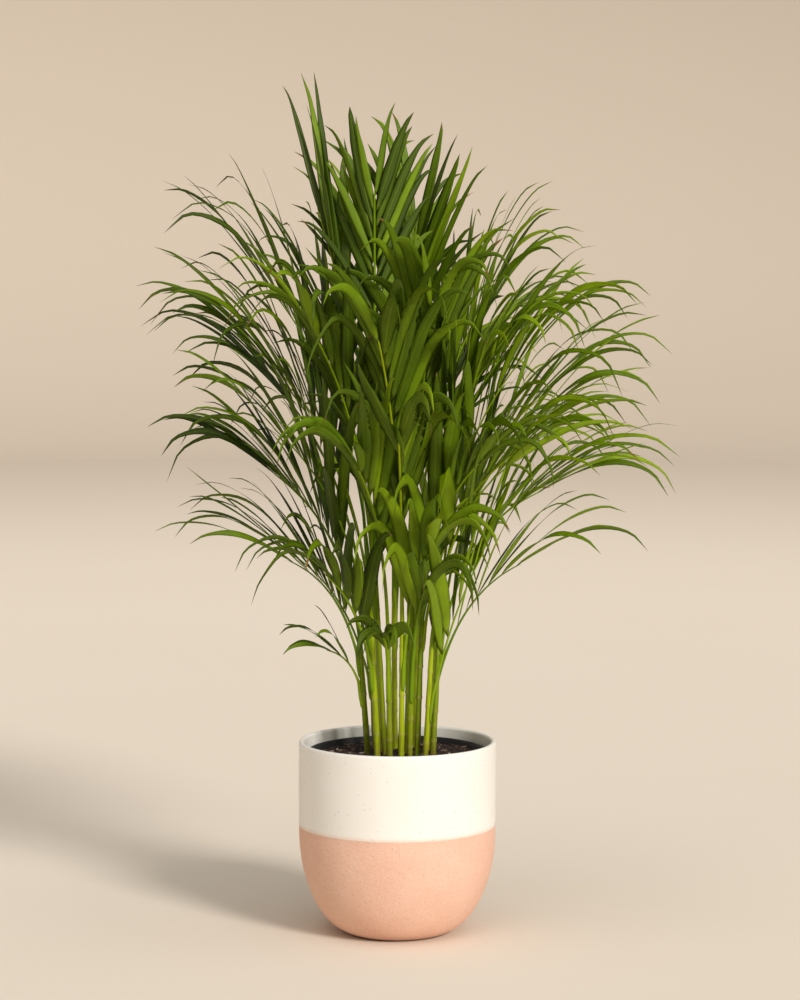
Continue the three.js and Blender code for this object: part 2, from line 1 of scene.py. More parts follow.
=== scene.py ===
"""A potted areca palm: fifteen canes and forty-one fronds in a two-tone ceramic pot."""

import math
import random

import bmesh
import bpy
from mathutils import Matrix, Vector, noise


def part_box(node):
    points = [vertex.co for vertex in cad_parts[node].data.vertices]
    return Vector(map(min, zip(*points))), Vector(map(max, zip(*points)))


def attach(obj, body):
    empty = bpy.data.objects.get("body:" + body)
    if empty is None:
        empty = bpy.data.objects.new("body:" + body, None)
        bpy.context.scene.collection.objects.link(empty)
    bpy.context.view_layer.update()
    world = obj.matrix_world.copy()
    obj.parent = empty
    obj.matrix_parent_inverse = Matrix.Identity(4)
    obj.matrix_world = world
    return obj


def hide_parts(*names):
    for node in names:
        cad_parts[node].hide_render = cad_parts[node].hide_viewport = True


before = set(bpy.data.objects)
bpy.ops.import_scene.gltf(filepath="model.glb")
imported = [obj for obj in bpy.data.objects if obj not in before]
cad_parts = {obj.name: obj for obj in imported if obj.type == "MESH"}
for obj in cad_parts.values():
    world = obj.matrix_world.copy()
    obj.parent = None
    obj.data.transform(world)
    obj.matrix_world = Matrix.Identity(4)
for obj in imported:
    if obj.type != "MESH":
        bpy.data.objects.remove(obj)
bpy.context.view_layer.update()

MERGE_DISTANCE = 2e-6
FULL_TURN = 2 * math.pi


def smooth(low, high, value):
    """0 below low, 1 above high, and an easy curve between them."""
    share = min(1.0, max(0.0, (value - low) / (high - low)))
    return share * share * (3 - 2 * share)


def mix(a, b, share):
    """A number a share of the way from a to b."""
    return a + (b - a) * share


def read_curve(stops, at):
    """The value at a place on a curve given as (place, value) stops."""
    for (start, first), (end, second) in zip(stops, stops[1:]):
        if at <= end:
            return mix(first, second, smooth(start, end, at))
    return stops[-1][1]


# ------------------------------------------------------------ materials


def colour(code):
    """A linear colour from a painter's six-figure code."""
    parts = [int(code[i : i + 2], 16) / 255 for i in (0, 2, 4)]
    flat = [p / 12.92 if p <= 0.04045 else ((p + 0.055) / 1.055) ** 2.4 for p in parts]
    return (*flat, 1.0)


class Socket:
    """The output of a node, which can be written into a sum."""

    def __init__(self, finish, link):
        self.finish = finish
        self.link = link

    def maths(self, operation, first, second=0.0):
        return self.finish.node("Math", {"operation": operation}, {0: first, 1: second})

    def __add__(self, other):
        return self.maths("ADD", self, other)

    def __radd__(self, other):
        return self.maths("ADD", other, self)

    def __sub__(self, other):
        return self.maths("SUBTRACT", self, other)

    def __rsub__(self, other):
        return self.maths("SUBTRACT", other, self)

    def __mul__(self, other):
        return self.maths("MULTIPLY", self, other)

    def __rmul__(self, other):
        return self.maths("MULTIPLY", other, self)

    def __pow__(self, other):
        return self.maths("POWER", self, other)

    def __abs__(self):
        return self.maths("ABSOLUTE", self)

    def wave(self):
        return self.maths("SINE", self)


class Finish:
    """A material as it is being put together."""

    def __init__(self, name):
        self.material = bpy.data.materials.new(name)
        self.material.use_nodes = True
        self.tree = self.material.node_tree
        self.tree.nodes.clear()

    def node(self, kind, settings=None, sockets=None, output=0):
        made = self.tree.nodes.new("ShaderNode" + kind)
        for name, value in (settings or {}).items():
            if name == "stops":
                self.set_stops(made.color_ramp, value)
            else:
                setattr(made, name, value)
        for key, value in (sockets or {}).items():
            if isinstance(value, Socket):
                self.tree.links.new(value.link, made.inputs[key])
            else:
                made.inputs[key].default_value = value
        return Socket(self, made.outputs[output]) if made.outputs else None

    def set_stops(self, ramp, stops):
        for element in list(ramp.elements)[1:]:
            ramp.elements.remove(element)
        ramp.elements[0].position, ramp.elements[0].color = stops[0]
        for place, value in stops[1:]:
            ramp.elements.new(place).color = value

    def place(self):
        return self.node("TexCoord", output="Object")

    def along(self, axis, vector):
        return self.node("SeparateXYZ", sockets={0: vector}, output=axis)

    def fit(self, scale):
        return self.node("Mapping", sockets={"Vector": self.place(), "Scale": scale})

    def noise(self, vector, scale, detail=3.0, roughness=0.5):
        sockets = {"Vector": vector, "Scale": scale, "Detail": detail, "Roughness": roughness}
        return self.node("TexNoise", {}, sockets, "Fac")

    def cells(self, vector, scale):
        return self.node("TexVoronoi", {}, {"Vector": vector, "Scale": scale}, "Distance")

    def cell_shade(self, vector, scale):
        colours = self.node("TexVoronoi", {}, {"Vector": vector, "Scale": scale}, "Color")
        return self.along(0, colours)

    def value(self, name):
        return self.node("Attribute", {"attribute_name": name}, output="Fac")

    def step(self, value, low, high, start=0.0, end=1.0):
        sockets = {0: value, 1: low, 2: high, 3: start, 4: end}
        return self.node("MapRange", {"interpolation_type": "SMOOTHSTEP"}, sockets)

    def blend(self, share, first, second):
        return self.node("Mix", {"data_type": "RGBA"}, {0: share, 6: first, 7: second}, 2)

    def ramp(self, value, stops):
        return self.node("ValToRGB", {"stops": stops}, {0: value})

    def bump(self, height, depth, strength=1.0, under=None):
        sockets = {"Height": height, "Distance": depth, "Strength": strength}
        if under:
            sockets["Normal"] = under
        return self.node("Bump", {}, sockets)

    def shader(self, **sockets):
        named = {name.replace("_", " "): value for name, value in sockets.items()}
        return self.node("BsdfPrincipled", {}, named)

    def done(self, surface):
        self.node("OutputMaterial", {}, {"Surface": surface})
        return self.material


GLAZE_EDGE = 0.1326  # height at which the glaze stops on the outside


def stoneware():
    """Bone-white satin glaze over raw pink clay."""
    f = Finish("two_tone_stoneware")
    place = f.place()
    height = f.along(2, place)
    ragged = f.noise(place, 38.0, 3.0) * 0.0022 + f.noise(place, 420.0, 2.0) * 0.0006
    radius_x = f.along(0, place)
    radius_y = f.along(1, place)
    radius = (radius_x * radius_x + radius_y * radius_y) ** 0.5
    outside = f.step(radius, 0.1125, 0.1135)
    low_outside = f.step(height - ragged, GLAZE_EDGE - 0.0019, GLAZE_EDGE - 0.0011, 1.0, 0.0)
    under = f.step(height, 0.012, 0.004, 0.0, 1.0)
    inner_shell = f.value("inside")
    raw = low_outside * (1 - inner_shell)

    cloud = f.noise(place, 14.0, 4.0, 0.6)
    glaze = f.blend(cloud, colour("F0EBE1"), colour("F7F4EC"))
    fleck_size = f.cells(place, 260.0)
    fleck_choice = f.cell_shade(place, 260.0)
    flecks = f.step(fleck_size, 0.30, 0.16) * f.step(fleck_choice, 0.90, 0.94)
    fine_size = f.cells(place, 620.0)
    fine_choice = f.cell_shade(place, 620.0)
    fine_flecks = f.step(fine_size, 0.34, 0.2) * f.step(fine_choice, 0.93, 0.96)
    glaze = f.blend(fine_flecks * 0.25, glaze, colour("A39682"))
    glaze = f.blend(flecks * 0.32, glaze, colour("8D7D68"))
    thin = f.step(height - ragged, GLAZE_EDGE - 0.001, GLAZE_EDGE + 0.0045, 1.0, 0.0)
    thin = thin * (1 - inner_shell)
    glaze = f.blend(thin * 0.55, glaze, colour("EBC9B2"))

    grain = f.noise(place, 900.0, 4.0, 0.7)
    blotch = f.noise(place, 22.0, 4.0, 0.6)
    clay = f.blend(f.step(grain, 0.3, 0.7), colour("E4B096"), colour("EFC7B0"))
    clay = f.blend(f.step(blotch, 0.35, 0.7) * 0.35, clay, colour("F2CCB5"))
    sand_size = f.cells(place, 480.0)
    sand_shade = f.cell_shade(place, 480.0)
    pale_sand = f.step(sand_size, 0.42, 0.2) * f.step(sand_shade, 0.80, 0.86)
    dark_sand = f.step(sand_size, 0.40, 0.2) * f.step(sand_shade, 0.16, 0.10)
    clay = f.blend(pale_sand * 0.5, clay, colour("F3D6C2"))
    clay = f.blend(dark_sand * 0.5, clay, colour("C58A6E"))
    clay = f.blend(under * 0.25, clay, colour("C79A80"))

    lumps = f.bump(f.noise(place, 210.0, 3.0, 0.6), 0.0012, 0.5)
    pores = f.bump(grain, 0.00035, 0.6, lumps)
    pits = f.bump(pale_sand - dark_sand, 0.0002, 0.6, pores)
    ripple = f.bump(f.noise(place, 38.0, 2.0), 0.0012, 0.25)
    satin = f.bump(f.noise(place, 700.0, 2.0) - flecks * 0.6, 0.00006, 0.5, ripple)
    clay_face = f.shader(Base_Color=clay, Roughness=0.88 - pale_sand * 0.15, Normal=pits)
    glaze_face = f.shader(
        Base_Color=glaze,
        Roughness=0.30 + cloud * 0.16 + outside * 0.02,
        Normal=satin,
        **{"Coat Weight": 0.25, "Coat Roughness": 0.22},
    )
    return f.done(f.node("MixShader", {}, {0: raw, 1: glaze_face, 2: clay_face}))


def nursery_plastic():
    """Matt black moulded plastic with a little dust on the rim."""
    f = Finish("black_nursery_plastic")
    place = f.place()
    scuffs = f.noise(f.fit((30.0, 30.0, 240.0)), 3.0, 4.0, 0.6)
    dust = f.step(f.noise(place, 90.0, 4.0, 0.6), 0.5, 0.75)
    base = f.blend(dust * 0.35, colour("17171A"), colour("4B4640"))
    rough = 0.42 + scuffs * 0.25 + dust * 0.2
    return f.done(f.shader(Base_Color=base, Roughness=rough, Normal=f.bump(scuffs, 0.0002, 0.4)))


def potting_soil():
    """Dark damp peat with paler fibres."""
    f = Finish("potting_soil")
    place = f.place()
    clods = f.noise(place, 120.0, 5.0, 0.65)
    fibres = f.noise(f.fit((700.0, 160.0, 400.0)), 1.0, 3.0)
    shades = [(0.25, colour("120B08")), (0.5, colour("2E1E16")), (0.75, colour("4F3727"))]
    earth = f.ramp(clods, shades)
    earth = f.blend(f.step(fibres, 0.62, 0.72) * 0.5, earth, colour("7A5C40"))
    height = clods + f.noise(place, 600.0, 3.0) * 0.4
    rough = 0.85 + clods * 0.15
    return f.done(f.shader(Base_Color=earth, Roughness=rough, Normal=f.bump(height, 0.002, 0.8)))


def crumb_finish():
    """Crumbs of peat, chips of bark and grains of perlite, by their tone."""
    f = Finish("soil_crumbs")
    tone = f.value("tone")
    grain = f.noise(f.place(), 900.0, 3.0)
    shades = [
        (0.0, colour("1A110C")),
        (0.45, colour("2A1B13")),
        (0.70, colour("412D20")),
        (0.80, colour("5B402C")),
        (0.86, colour("80654A")),
        (0.93, colour("E4DFD3")),
    ]
    shade = f.ramp(tone, shades)
    shade = f.blend(grain * 0.5, shade, colour("241811"))
    return f.done(f.shader(Base_Color=shade, Roughness=0.9, Normal=f.bump(grain, 0.0006, 0.7)))


def cane_finish():
    """Smooth yellow-green cane, ringed, freckled and browned towards its foot."""
    f = Finish("palm_cane")
    place = f.place()
    up = f.value("rise")
    tone = f.value("tone")
    ring = f.value("ring")
    streaks = f.noise(f.fit((520.0, 520.0, 22.0)), 1.0, 4.0, 0.6)
    blotch = f.noise(place, 60.0, 3.0)
    skin = f.ramp(
        up,
        [
            (0.0, colour("6A7408")),
            (0.12, colour("7C8C04")),
            (0.45, colour("7D9C02")),
            (1.0, colour("729804")),
        ],
    )
    skin = f.blend(f.step(tone, 0.35, 0.9) * 0.6, skin, colour("BCCA08"))
    skin = f.blend(f.step(streaks, 0.48, 0.72) * 0.55, skin, colour("3F5C02"))
    skin = f.blend(f.step(blotch, 0.55, 0.8) * 0.3, skin, colour("A9A04A"))
    freckle = f.step(f.cells(place, 480.0), 0.22, 0.12)
    freckle = freckle * f.step(f.cell_shade(place, 480.0), 0.7, 0.8)
    skin = f.blend(freckle * 0.6, skin, colour("4A3A1C"))
    foot = f.step(up, 0.10, 0.0) * f.step(streaks + blotch, 0.8, 1.2)
    skin = f.blend(foot, skin, colour("6B4A2B"))
    skin = f.blend(ring * 0.5, skin, colour("A8985A"))
    relief = f.bump(streaks - freckle, 0.0004, 0.6)
    rough = 0.36 + streaks * 0.25
    face = f.shader(Base_Color=skin, Roughness=rough, Normal=relief, Specular_IOR_Level=0.3)
    return f.done(face)


LIT_THROUGH = colour("768C06")  # a leaf with the light behind it
THROUGH_SHARE = 0.28


def frond_finish():
    """Leaf skin: lengthwise veins, a pale midrib, dried tips and yellow-green stalks."""
    f = Finish("palm_frond")
    uv = f.node("UVMap")
    around = f.along(0, uv)
    length = f.along(1, uv)
    place = f.place()
    tone = f.value("tone")
    stalk = f.value("stalk")
    light = f.value("light")
    across = 1 - abs(around * 2 - 1)
    beneath = f.step(around, 0.49, 0.51)

    veins = (across * 150.0).wave() * 0.5 + 0.5
    broad = (across * 44.0 + 0.9).wave() * 0.5 + 0.5
    midrib = f.step(abs(across - 0.5), 0.045, 0.015)
    cloud = f.noise(place, 24.0, 3.0)
    mottle = f.noise(place, 160.0, 4.0, 0.6)

    leaf = f.ramp(
        tone,
        [
            (0.0, colour("1C2703")),
            (0.35, colour("354A02")),
            (0.65, colour("668803")),
            (1.0, colour("A9C80C")),
        ],
    )
    # Painted light: the leaf colour is blended towards bright yellow-green where the light value
    # is high, which is on fronds to the right, on leaflets towards the front and on a few leaflets
    # at random.
    leaf = f.blend(light * 0.75, leaf, colour("9ABB06"))
    leaf = f.blend(f.step(cloud, 0.35, 0.7) * 0.3, leaf, colour("263702"))
    vein = f.blend(0.3, leaf, colour("76980A"))
    leaf = f.blend(veins * 0.4 + broad * 0.2, leaf, vein)
    leaf = f.blend(midrib * 0.4, leaf, colour("A5BC24"))
    leaf = f.blend(beneath * 0.5, leaf, f.blend(0.3, leaf, colour("6F8A18")))
    leaf = f.blend(f.step(length, 0.10, 0.0) * 0.55, leaf, colour("A6B944"))
    freckle = f.step(f.cells(place, 420.0), 0.2, 0.1)
    freckle = freckle * f.step(f.cell_shade(place, 420.0), 0.88, 0.93)
    leaf = f.blend(freckle * 0.5, leaf, colour("6B5A26"))
    dry_start = 0.992 - f.value("dry") * 0.10
    dry = f.step(length + (mottle - 0.5) * 0.05 - dry_start, 0.0, 0.02)
    leaf = f.blend(dry, leaf, f.blend(mottle, colour("B08A4E"), colour("6E4A26")))

    streaks = f.noise(f.node("Mapping", {}, {"Vector": uv, "Scale": (26.0, 3.0, 1.0)}), 1.0, 3.0)
    stem = f.ramp(
        tone * 0.6 + streaks * 0.4,
        [
            (0.1, colour("587C04")),
            (0.45, colour("84A808")),
            (0.7, colour("AFC80C")),
            (0.95, colour("DBE224")),
        ],
    )
    stem = f.blend(f.step(mottle, 0.62, 0.8) * 0.3, stem, colour("6A5B25"))
    skin = f.blend(stalk, leaf, stem)

    relief = f.bump((veins * 0.5 + broad) * (1 - stalk) - midrib * 1.5, 0.00012, 0.7)
    relief = f.bump(mottle, 0.0004, 0.25, relief)
    rough = 0.31 + mottle * 0.16 + beneath * 0.18 * (1 - stalk) + dry * 0.3
    face = f.shader(Base_Color=skin, Roughness=rough, Normal=relief, Specular_IOR_Level=0.3)
    through = f.node("BsdfTranslucent", {}, {"Color": LIT_THROUGH, "Normal": relief})
    return f.done(f.node("MixShader", {}, {0: THROUGH_SHARE, 1: face, 2: through}))


# ------------------------------------------------------------ mesh helpers


class Piece:
    """A mesh made of tubes, blades and turned shapes."""

    def __init__(self, name, values=()):
        self.name = name
        self.bm = bmesh.new()
        self.uv = self.bm.loops.layers.uv.new("UVMap")
        self.values = {value: self.bm.verts.layers.float.new(value) for value in values}

    def tube(self, around, along, put, values=None):
        """A closed tube: put gives the place of each pair of shares, around and along."""
        made = bmesh.ops.create_grid(
            self.bm, x_segments=around, y_segments=along, size=0.5, calc_uvs=True
        )
        corners = made["verts"]
        for corner in corners:
            turn, rise = corner.co.x + 0.5, corner.co.y + 0.5
            corner.co = put(turn, rise)
            for name, value in (values or {}).items():
                layer = self.values[name]
                corner[layer] = value(turn, rise) if callable(value) else value
        bmesh.ops.remove_doubles(self.bm, verts=corners, dist=MERGE_DISTANCE)

    def turned(self, profile, steps):
        """A shape spun from (radius, height) points, closed on the axis."""
        start = [self.bm.verts.new((radius, 0, height)) for radius, height in profile]
        edges = [self.bm.edges.new(pair) for pair in zip(start, start[1:])]
        bmesh.ops.spin(
            self.bm,
            geom=start + edges,
            cent=(0, 0, 0),
            axis=(0, 0, 1),
            angle=FULL_TURN,
            steps=steps,
            use_merge=True,
        )
        bmesh.ops.remove_doubles(self.bm, verts=self.bm.verts, dist=1e-6)

    def finish(self, material, *nodes, slot):
        """The piece as an object that rides on the pot and stands for its CAD nodes."""
        bmesh.ops.recalc_face_normals(self.bm, faces=self.bm.faces)
        mesh = bpy.data.meshes.new(self.name)
        for face in self.bm.faces:
            face.smooth = True
        self.bm.to_mesh(mesh)
        self.bm.free()
        mesh.materials.append(material)
        made = bpy.data.objects.new(self.name, mesh)
        bpy.context.scene.collection.objects.link(made)
        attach(made, "root")
        if nodes:
            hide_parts(*nodes)
        return made


def curve_through(points, places):
    """A smooth curve through points that lie at the given places."""
    slopes = []
    for i in range(len(points)):
        before, after = max(0, i - 1), min(len(points) - 1, i + 1)
        slopes.append((points[after] - points[before]) / (places[after] - places[before]))

    def at(place):
        place = min(places[-1], max(places[0], place))
        i = next(k for k in range(1, len(places)) if place <= places[k] + 1e-9)
        gap = places[i] - places[i - 1]
        t = (place - places[i - 1]) / gap
        first = 2 * t**3 - 3 * t**2 + 1
        second = t**3 - 2 * t**2 + t
        third = -2 * t**3 + 3 * t**2
        fourth = t**3 - t**2
        return (
            points[i - 1] * first
            + slopes[i - 1] * (second * gap)
            + points[i] * third
            + slopes[i] * (fourth * gap)
        )

    return at


def skeleton(node):
    """Corner places and links of a CAD node, its loose triangles joined."""
    bm = bmesh.new()
    bm.from_mesh(node.data)
    bmesh.ops.remove_doubles(bm, verts=bm.verts, dist=MERGE_DISTANCE)
    bm.verts.index_update()
    places = [corner.co.copy() for corner in bm.verts]
    links = [sorted(e.other_vert(v).index for e in v.link_edges) for v in bm.verts]
    bm.free()
    return places, links


def rings_below(tip, places, links, barred, most):
    """Rings of three corners met on the way down from a tip."""
    rings = [links[tip]]
    seen = {tip, *links[tip]} | barred
    while len(rings) < most:
        below = sorted({other for corner in rings[-1] for other in links[corner]} - seen)
        if len(below) != 3:
            break
        rings.append(below)
        seen.update(below)
    return rings


def sort_ring(ring, places):
    """The two ends of a ring's longest side, then the corner opposite."""
    first, second, third = ring
    pairs = ((first, second), (second, third), (first, third))
    _, a, b = max(((places[a] - places[b]).length, a, b) for a, b in pairs)
    keel = next(corner for corner in ring if corner not in (a, b))
    return places[a], places[b], places[keel]


def read_frond(node):
    """A frond's midline rings and its leaflets, as laid out in its CAD node."""
    places, links = skeleton(node)
    tips = []
    for i, near in enumerate(links):
        if len(near) == 3 and all(b in links[a] for a in near for b in near if a != b):
            reach = min((places[i] - places[k]).length for k in near)
            if reach > 0.006:
                tips.append((reach, i))
    midline_tip = min(tips)[1]
    leaflets = []
    barred = set()
    for _, tip in tips:
        if tip == midline_tip:
            continue
        rings = rings_below(tip, places, links, set(), 4)
        barred.update([tip, *rings[0], *rings[1], *rings[2]])
        leaflets.append((tip, rings))
    rings = rings_below(midline_tip, places, links, barred, 200)
    rings.reverse()
    midline = []
    for ring in rings:
        a, b, keel = sort_ring(ring, places)
        midline.append(((a + b) / 2, (b - a).normalized(), ((a + b) / 2 - keel), (a - b).length))
    _, side, lift, width = midline[-1]
    midline.append((places[midline_tip], side, lift * 0.3, width * 0.3))
    station_of = {corner: k for k, ring in enumerate(rings) for corner in ring}
    read = []
    for tip, (near, middle, low, foot) in leaflets:
        sections = []
        for ring in (low, middle, near):
            a, b, keel = sort_ring(ring, places)
            sections.append(((a + b) / 2, b - a, (a + b) / 2 - keel))
        corners = [places[k] for k in foot]
        station = min(station_of[k] for k in foot)
        read.append((station, sum(corners, Vector()) / 3, sections, places[tip]))
    read.sort(key=lambda leaflet: (leaflet[0], tuple(leaflet[1])))
    return midline, read


# ------------------------------------------------------------ canes


def read_cane(node):
    """Centres and radii of a cane's rings, from its foot to its top."""
    places, _ = skeleton(node)
    rings = {}
    for place in places:
        rings.setdefault(round(place.z, 4), []).append(place)
    line = []
    for height in sorted(rings):
        ring = rings[height]
        if len(ring) < 6:
            continue
        centre = sum(ring, Vector()) / len(ring)
        line.append((centre, (ring[0] - centre).length))
    return line


CANE_SIDES = 14
CANE_STEPS = 72
RING_HEIGHT = 0.0016


def add_cane(name, line, finish, chance):
    """A cane with raised leaf scars, closed at both ends."""
    centres = [centre for centre, _ in line]
    heights = [centre.z for centre in centres]
    at = curve_through(centres, heights)
    radii = curve_through([Vector((radius, 0, 0)) for _, radius in line], heights)
    low, high = heights[0], heights[-1]
    nodes = []
    height = low + chance.uniform(0.02, 0.045)
    while height < high - 0.02:
        nodes.append(height)
        height += chance.uniform(0.028, 0.05)
    tone = chance.random()
    phase = chance.uniform(0, 9)

    def rings(height):
        return max([math.exp(-(((height - node) / RING_HEIGHT) ** 2)) for node in nodes] or [0])

    def put(turn, rise):
        height = mix(low, high, rise)
        radius = radii(height).x
        above = [node for node in nodes if node <= height]
        if above:
            radius *= 1.05 - 0.1 * smooth(0, 0.04, height - above[-1])
        radius += 0.00045 * rings(height)
        lobes = 0.03 * math.sin(3 * 2 * math.pi * turn + phase)
        radius *= 1 + lobes + 0.02 * math.sin(height * 90 + phase)
        close = smooth(0, 0.02, rise) * mix(1, 0.35, smooth(0.93, 1.0, rise))
        if rise > 0.999:
            close = 0
        angle = 2 * math.pi * turn
        return at(height) + Vector((math.cos(angle), math.sin(angle), 0)) * (radius * close)

    piece = Piece(name + "_grown", ("tone", "rise", "ring"))
    piece.tube(
        CANE_SIDES,
        CANE_STEPS,
        put,
        {
            "tone": tone,
            "rise": lambda turn, rise: mix(low, high, rise) / 0.45 - 0.46,
            "ring": lambda turn, rise: rings(mix(low, high, rise)),
        },
    )
    return piece.finish(finish, name, slot="cane")


# ------------------------------------------------------------ fronds

WIDTHS = [
    (0, 0.24),
    (0.07, 0.46),
    (0.2, 0.84),
    (0.34, 1.0),
    (0.6, 0.82),
    (0.85, 0.40),
    (0.95, 0.17),
    (1, 0.02),
]
BLADE_THICKNESS = 0.00045
BLADE_SIDES = 8
BLADE_STEPS = 16
STALK_SIDES = 10
STALK_SPACING = 0.009
SHEATH_LENGTH = 0.034
POINT = 1e-6  # share of a length within which it comes to a point


def add_leaflet(piece, foot, sections, tip, chance, light, age_and_side_shade):
    """A thin folded blade from its foot on the stalk to its tip."""
    places = [0, 0.3, 0.6, 0.85, 1]
    centres = [foot] + [centre for centre, _, _ in sections] + [tip]
    length = sum((b - a).length for a, b in zip(centres, centres[1:]))
    across = [side.normalized() for _, side, _ in sections]
    for i in (1, 2):
        if across[i].dot(across[i - 1]) < 0:
            across[i].negate()
    above = [lift.normalized() for _, _, lift in sections]
    breadth = sections[0][1].length * mix(1.25, 0.56, smooth(0.05, 0.21, abs(tip.x)))
    breadth *= chance.uniform(0.84, 1.16) * mix(1.0, 0.8, smooth(0.0, 0.1, tip.y))
    breadth *= mix(1.0, 0.85, smooth(0.78, 0.92, tip.z))
    curl = chance.uniform(0.0, 0.09) * length
    bend = chance.uniform(-0.05, 0.05) * length
    twist = chance.uniform(-0.5, 0.5)
    drop = Vector((0, 0, -curl)) + across[2] * bend
    tip = tip + drop
    centres[-1] = tip
    centres[-2] = centres[-2] + drop * 0.28
    at = curve_through(centres, places)
    sides = curve_through([across[0], across[0], across[1], across[2], across[2]], places)
    ups = curve_through([above[0], above[0], above[1], above[2], above[2]], places)
    fold = chance.uniform(0.10, 0.34)
    wave = chance.uniform(0.0, 0.05)
    waves = chance.uniform(2.0, 4.5)
    phase = chance.uniform(0, 6.3)
    # The leaflet's tone scatters around the frond's tone, which is painted darker on the left side
    # as shade.
    tone = min(1.0, max(0.0, chance.gauss(age_and_side_shade, 0.24)))

    def put(turn, rise):
        rise = rise**0.9
        centre = at(rise)
        ahead = (at(min(1, rise + 0.02)) - at(max(0, rise - 0.02))).normalized()
        side = sides(rise)
        side = (side - ahead * side.dot(ahead)).normalized()
        lift = ahead.cross(side)
        if lift.dot(ups(rise)) < 0:
            lift.negate()
        if rise > 0.5:
            turning = Matrix.Rotation(twist * (rise - 0.5) ** 2 * 2, 3, ahead)
            side, lift = turning @ side, turning @ lift
        half = breadth / 2 * read_curve(WIDTHS, rise)
        over = turn < 0.5
        u = (turn if over else 1 - turn) * 4 - 1
        folded = fold * mix(2.4, 1, smooth(0, 0.25, rise)) * mix(1, 0.5, rise)
        ripple = wave * math.sin(waves * math.pi * 2 * rise + phase + u) * abs(u)
        valley = abs(u) * folded + ripple
        thick = BLADE_THICKNESS * mix(2.6, 0.6, smooth(0, 0.4, rise)) * (1 - 0.6 * abs(u) ** 3)
        level = 0.5 * thick * (1 if over else -1)
        if abs(abs(u) - 1) < POINT:
            level = 0
        if rise < POINT or rise > 1 - POINT:
            half, valley, level = 0, 0, 0
        return centre + side * (half * u) + lift * (half * valley + level)

    # Painted light: leaflets towards the right and the front, and a few at random, are given more
    # of the bright leaf colour.
    lit = min(1.0, 0.7 * light + 0.9 * chance.random() ** 4 + 0.2 * smooth(0.0, 0.1, -tip.y))
    values = {"tone": tone, "stalk": 0.0, "light": lit, "dry": chance.random() ** 3}
    piece.tube(BLADE_SIDES, BLADE_STEPS, put, values)


def add_midline(piece, midline, cane, chance, light):
    """A grooved stalk that leaves its cane in a sheath and thins out to the frond's tip."""
    places = [0]
    for (a, *_), (b, *_) in zip(midline, midline[1:]):
        places.append(places[-1] + (b - a).length)
    centres = [top - lift * 0.4 for top, _, lift, _ in midline]
    rights = [midline[0][1]]
    for _, side, _, _ in midline[1:]:
        rights.append(side if side.dot(rights[-1]) > 0 else -side)
    lifts = [lift.normalized() for _, _, lift, _ in midline]
    widths = [Vector((width, 0, 0)) for _, _, _, width in midline]
    widths[0] = widths[1] * 1.25
    foot = centres[0]
    axis = curve_through([c for c, _ in cane], [c.z for c, _ in cane])
    low = max(foot.z - SHEATH_LENGTH, cane[0][0].z + 0.02)
    outward = foot - axis(foot.z)
    outward.z = 0
    outward = outward.normalized() if outward.length > 0.002 else Vector()
    shell = cane[-1][1]
    down = axis(low) + outward * (shell * 0.75)
    mid = axis((low + foot.z) / 2) + outward * (shell + 0.0004)
    gap = (foot - down).length
    centres = [down, mid] + centres
    places = [-gap, -gap / 2] + places
    rights = [rights[0]] * 2 + rights
    lifts = [lifts[0]] * 2 + lifts
    widths = [Vector((shell * 1.5, 0, 0)), Vector((shell * 2.1, 0, 0))] + widths
    at = curve_through(centres, places)
    side_at = curve_through(rights, places)
    lift_at = curve_through(lifts, places)
    width_at = curve_through(widths, places)
    start, end = places[0], places[-1]
    tone = min(1, max(0, chance.gauss(0.5, 0.22)))
    along = int((end - start) / STALK_SPACING) + 12

    def put(turn, rise):
        place = mix(start, end, rise)
        centre = at(place)
        ahead = (at(place + 0.002) - at(place - 0.002)).normalized()
        side = side_at(place)
        side = (side - ahead * side.dot(ahead)).normalized()
        lift = ahead.cross(side)
        if lift.dot(lift_at(place)) < 0:
            lift.negate()
        half = max(0.0004, width_at(place).x / 2)
        if rise < POINT or rise > 1 - POINT:
            half = 0
        angle = 2 * math.pi * turn
        x, y = math.cos(angle), math.sin(angle)
        groove = 1 - 0.55 * max(0, y) * math.exp(-((x / 0.55) ** 2))
        return centre + side * (half * x) + lift * (half * 0.82 * y * groove)

    values = {"tone": tone, "stalk": 1.0, "light": light, "dry": 0.0}
    piece.tube(STALK_SIDES, along, put, values)


def add_frond(name, canes, finish, chance):
    """A stalk and its leaflets, on the cane nearest to its foot."""
    midline, leaflets = read_frond(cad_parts[name])
    foot = midline[0][0]

    def distance(cane):
        return min((centre - foot).length for centre, _ in dense(cane))

    cane = min(canes, key=distance)
    middle = sum(ring[0].x for ring in midline) / len(midline)
    # Painted light and shade: fronds further to the right are given a brighter leaf colour and a
    # lighter tone, fronds to the left a darker tone; the tone also varies at random from frond to
    # frond.
    light = 0.35 * smooth(-0.06, 0.10, middle)
    age_and_side_shade = chance.gauss(0.16 + 0.48 * smooth(-0.14, 0.08, middle), 0.17)
    piece = Piece(name + "_grown", ("tone", "stalk", "light", "dry"))
    add_midline(piece, midline, cane, chance, light)
    for _, base, sections, tip in leaflets:
        add_leaflet(piece, base, sections, tip, chance, light, age_and_side_shade)
    return piece.finish(finish, name, slot="leaf")


def dense(cane):
    """A cane's rings with more between them."""
    rings = []
    for (a, first), (b, second) in zip(cane, cane[1:]):
        for i in range(6):
            rings.append((a.lerp(b, i / 6), mix(first, second, i / 6)))
    return rings + [cane[-1]]


# ------------------------------------------------------------ pots

